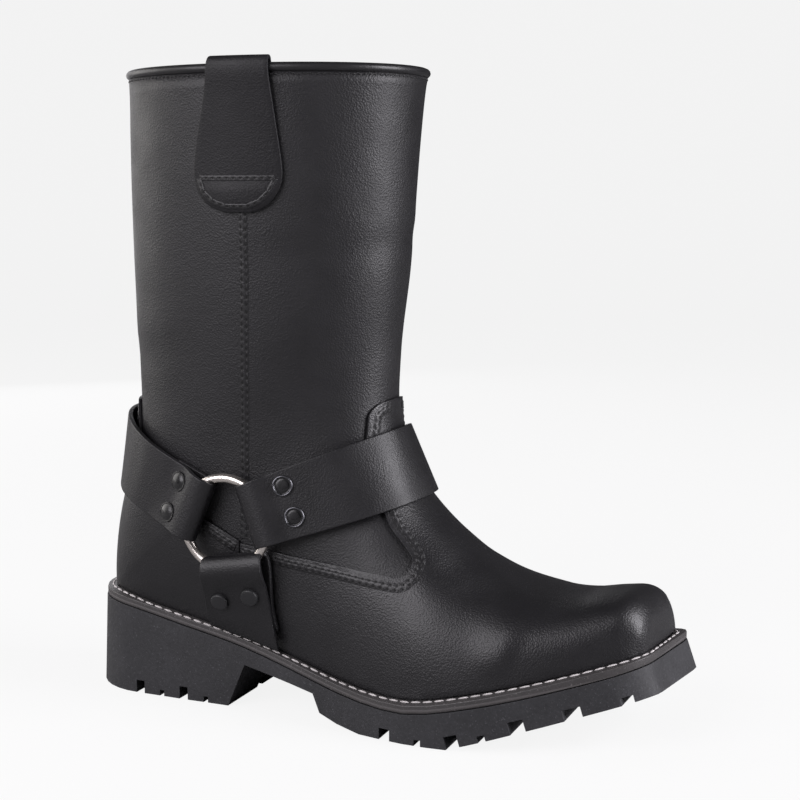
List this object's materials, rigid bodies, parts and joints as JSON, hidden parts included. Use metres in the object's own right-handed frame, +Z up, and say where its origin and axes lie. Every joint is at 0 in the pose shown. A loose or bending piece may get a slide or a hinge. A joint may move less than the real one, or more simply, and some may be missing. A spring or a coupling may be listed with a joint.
{
  "type": "motorcycle boot",
  "caption": "Right-foot harness motorcycle boot with a hollow leather shaft, square toe, strap ring on the outer ankle, inside zip and lugged rubber sole with a heel.",
  "frame": {"origin": "middle of the boot's box in plan, at the floor", "axes": "+X to the toe, +Y to the inner (medial) side, +Z up the shaft"},
  "size_m": [0.3126, 0.1184, 0.3205],
  "materials": {
    "outsole": "matt black",
    "welt": "matt dark grey",
    "insole": "matt",
    "upper": "satin black, fine grain",
    "vamp": "satin black, fine grain",
    "counter": "satin black, fine grain",
    "collar_binding": "satin black",
    "pull_strap": "satin black, fine grain",
    "strap_rear": "satin black, fine grain",
    "strap_front": "satin black, fine grain",
    "strap_lower": "satin black, fine grain",
    "harness_ring": "polished nickel",
    "rivet_1": "gloss black",
    "rivet_2": "gloss black",
    "rivet_3": "gloss black",
    "rivet_4": "gloss black",
    "rivet_5": "gloss black",
    "rivet_6": "gloss black",
    "zip_placket_rear": "satin black",
    "zip_placket_front": "satin black",
    "zip_chain": "matt black",
    "zip_flap": "satin black, fine grain",
    "flap_patch": "satin black, fine grain"
  },
  "bodies": {
    "boot": {"outsole": "outsole", "welt": "welt", "insole": "insole", "upper": "upper", "vamp": "vamp", "counter": "counter", "collar_binding": "collar_binding", "pull_strap": "pull_strap", "strap_rear": "strap_rear", "strap_front": "strap_front", "strap_lower": "strap_lower", "rivet_1": "rivet_1", "rivet_2": "rivet_2", "rivet_3": "rivet_3", "rivet_4": "rivet_4", "rivet_5": "rivet_5", "rivet_6": "rivet_6", "zip_placket_rear": "zip_placket_rear", "zip_placket_front": "zip_placket_front", "zip_chain": "zip_chain", "zip_flap": "zip_flap", "flap_patch": "flap_patch"},
    "ring": {"harness_ring": "harness_ring"}
  },
  "joints": [
    {"name": "ring_turn", "type": "hinge", "parent": "boot", "child": "ring", "pos_m": [-0.06202, -0.04774, 0.0966], "axis": [0, 1, 0], "continuous": true}
  ]
}
